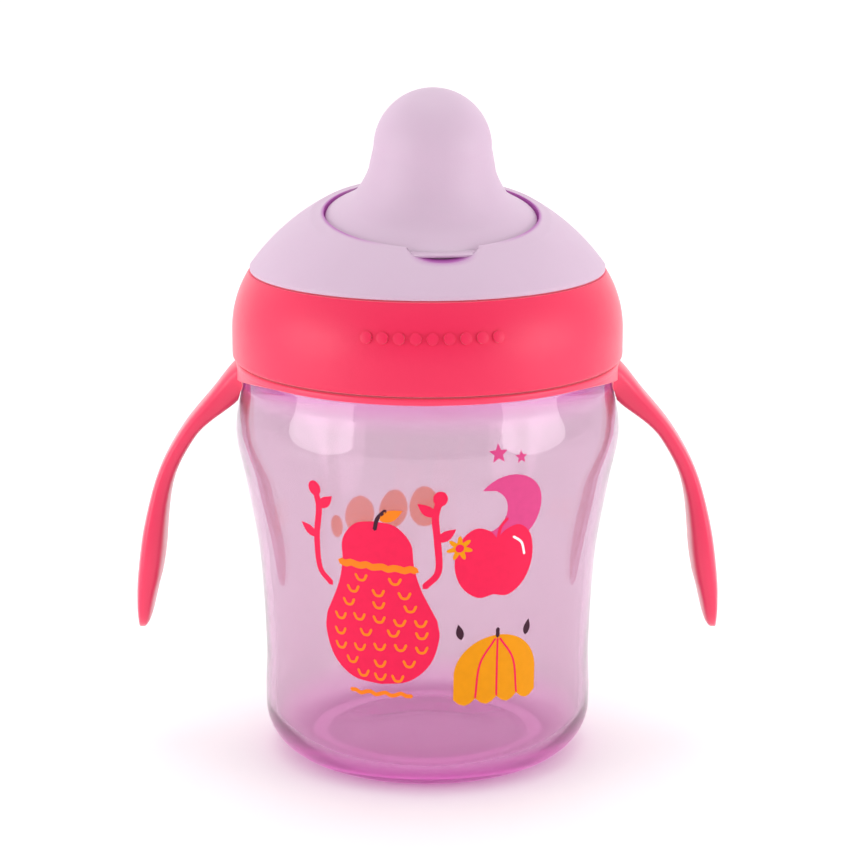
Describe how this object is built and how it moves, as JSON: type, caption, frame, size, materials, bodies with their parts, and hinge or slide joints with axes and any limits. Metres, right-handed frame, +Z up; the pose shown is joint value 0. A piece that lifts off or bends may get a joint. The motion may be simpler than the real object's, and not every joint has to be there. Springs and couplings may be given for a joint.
{
  "type": "toddler training cup",
  "caption": "Waisted translucent training cup with drooping side handles, a screw collar, a domed lid with a soft spout and a bell-shaped spout cover.",
  "frame": {"origin": "centre of the flat base, on the surface the cup stands on", "axes": "+Z up along the cup's axis; -Y to the front, where the spout leans; the handles lie along +X and -X"},
  "size_m": [0.114, 0.075, 0.1309],
  "materials": {
    "clear_lilac_plastic": "glossy, see-through, tinted lilac",
    "coral_plastic": "satin moulded plastic, opaque",
    "lilac_plastic": "fine matte moulded plastic, opaque",
    "milky_silicone": "soft milky silicone"
  },
  "bodies": {
    "cup": {"cup_body": "clear_lilac_plastic"},
    "handles": {"handle_ring": "coral_plastic"},
    "lid": {"dome_lid": "lilac_plastic", "rim_gasket": "milky_silicone", "soft_spout": "milky_silicone", "spill_valve": "milky_silicone", "air_vent": "milky_silicone"},
    "collar": {"screw_collar": "coral_plastic"},
    "cover": {"spout_cover": "lilac_plastic"}
  },
  "joints": [
    {"name": "lid_rise", "type": "slide", "parent": "cup", "child": "lid", "axis": [0, 0, 1], "range_m": [0, 0.03]},
    {"name": "collar_turn", "type": "hinge", "parent": "lid", "child": "collar", "pos_m": [0, 0, 0.087], "axis": [0, 0, 1], "range_deg": [0, 900]},
    {"name": "cover_pull", "type": "slide", "parent": "lid", "child": "cover", "axis": [0.0199, -0.1898, 0.9816], "range_m": [0, 0.04]},
    {"name": "handle_swivel", "type": "hinge", "parent": "cup", "child": "handles", "pos_m": [0, 0, 0.0775], "axis": [0, 0, 1], "continuous": true}
  ],
  "couplings": [
    {"joint": "lid_rise", "follows": "collar_turn", "m_per_rad": 0.0019099}
  ]
}
